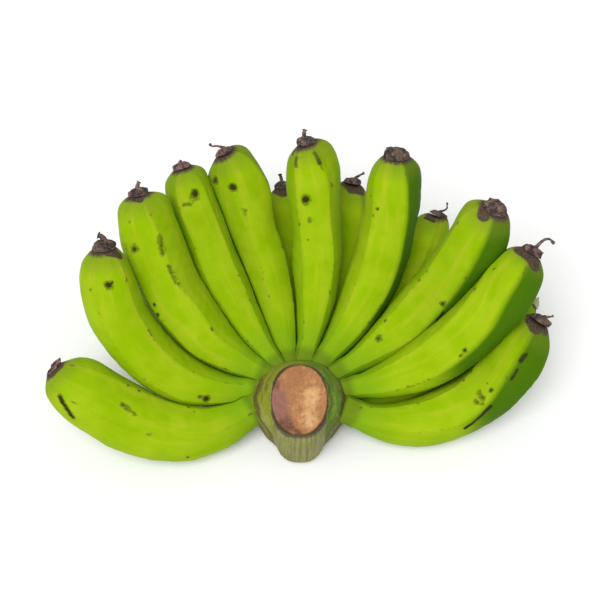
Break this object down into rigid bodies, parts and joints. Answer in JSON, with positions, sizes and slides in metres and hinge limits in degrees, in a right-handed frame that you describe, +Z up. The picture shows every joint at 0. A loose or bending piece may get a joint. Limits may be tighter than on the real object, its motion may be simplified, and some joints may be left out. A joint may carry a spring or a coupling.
{
  "type": "cavendish banana hand",
  "caption": "Whole hand of green cavendish bananas, two rows of angular curved fingers in a fan round one cut piece of stalk, lying on its outer side.",
  "frame": {"origin": "on the surface that the hand rests on, under the middle of its bounding box", "axes": "+Z up from the surface, +Y from the cut stalk toward the middle of the fan, +X to the right seen from the side of the stalk"},
  "size_m": [0.3416, 0.2042, 0.1319],
  "materials": {
    "green_peel": "smooth waxy fruit peel, satin, yellow-green",
    "shaded_green_peel": "smooth waxy fruit peel, satin, deeper green",
    "crown_skin": "matt fibrous plant tissue, olive green with a pinkish brown cut face",
    "dry_flower": "matt, dry and dark brown"
  },
  "bodies": {
    "root": {"crown": "crown_skin", "finger_upper_1": "green_peel", "finger_upper_2": "green_peel", "finger_upper_3": "green_peel", "finger_upper_4": "green_peel", "finger_upper_5": "green_peel", "finger_upper_6": "green_peel", "finger_upper_7": "green_peel", "finger_upper_8": "green_peel", "finger_upper_9": "green_peel", "finger_upper_10": "green_peel", "finger_lower_1": "shaded_green_peel", "finger_lower_2": "shaded_green_peel", "finger_lower_3": "shaded_green_peel", "finger_lower_4": "shaded_green_peel", "finger_lower_5": "shaded_green_peel", "finger_lower_6": "shaded_green_peel", "finger_lower_7": "shaded_green_peel", "flower_end_upper_1": "dry_flower", "flower_end_upper_2": "dry_flower", "flower_end_upper_3": "dry_flower", "flower_end_upper_4": "dry_flower", "flower_end_upper_5": "dry_flower", "flower_end_upper_6": "dry_flower", "flower_end_upper_7": "dry_flower", "flower_end_upper_8": "dry_flower", "flower_end_upper_9": "dry_flower", "flower_end_upper_10": "dry_flower", "flower_end_lower_1": "dry_flower", "flower_end_lower_2": "dry_flower", "flower_end_lower_3": "dry_flower", "flower_end_lower_4": "dry_flower", "flower_end_lower_5": "dry_flower", "flower_end_lower_6": "dry_flower", "flower_end_lower_7": "dry_flower"}
  },
  "joints": []
}
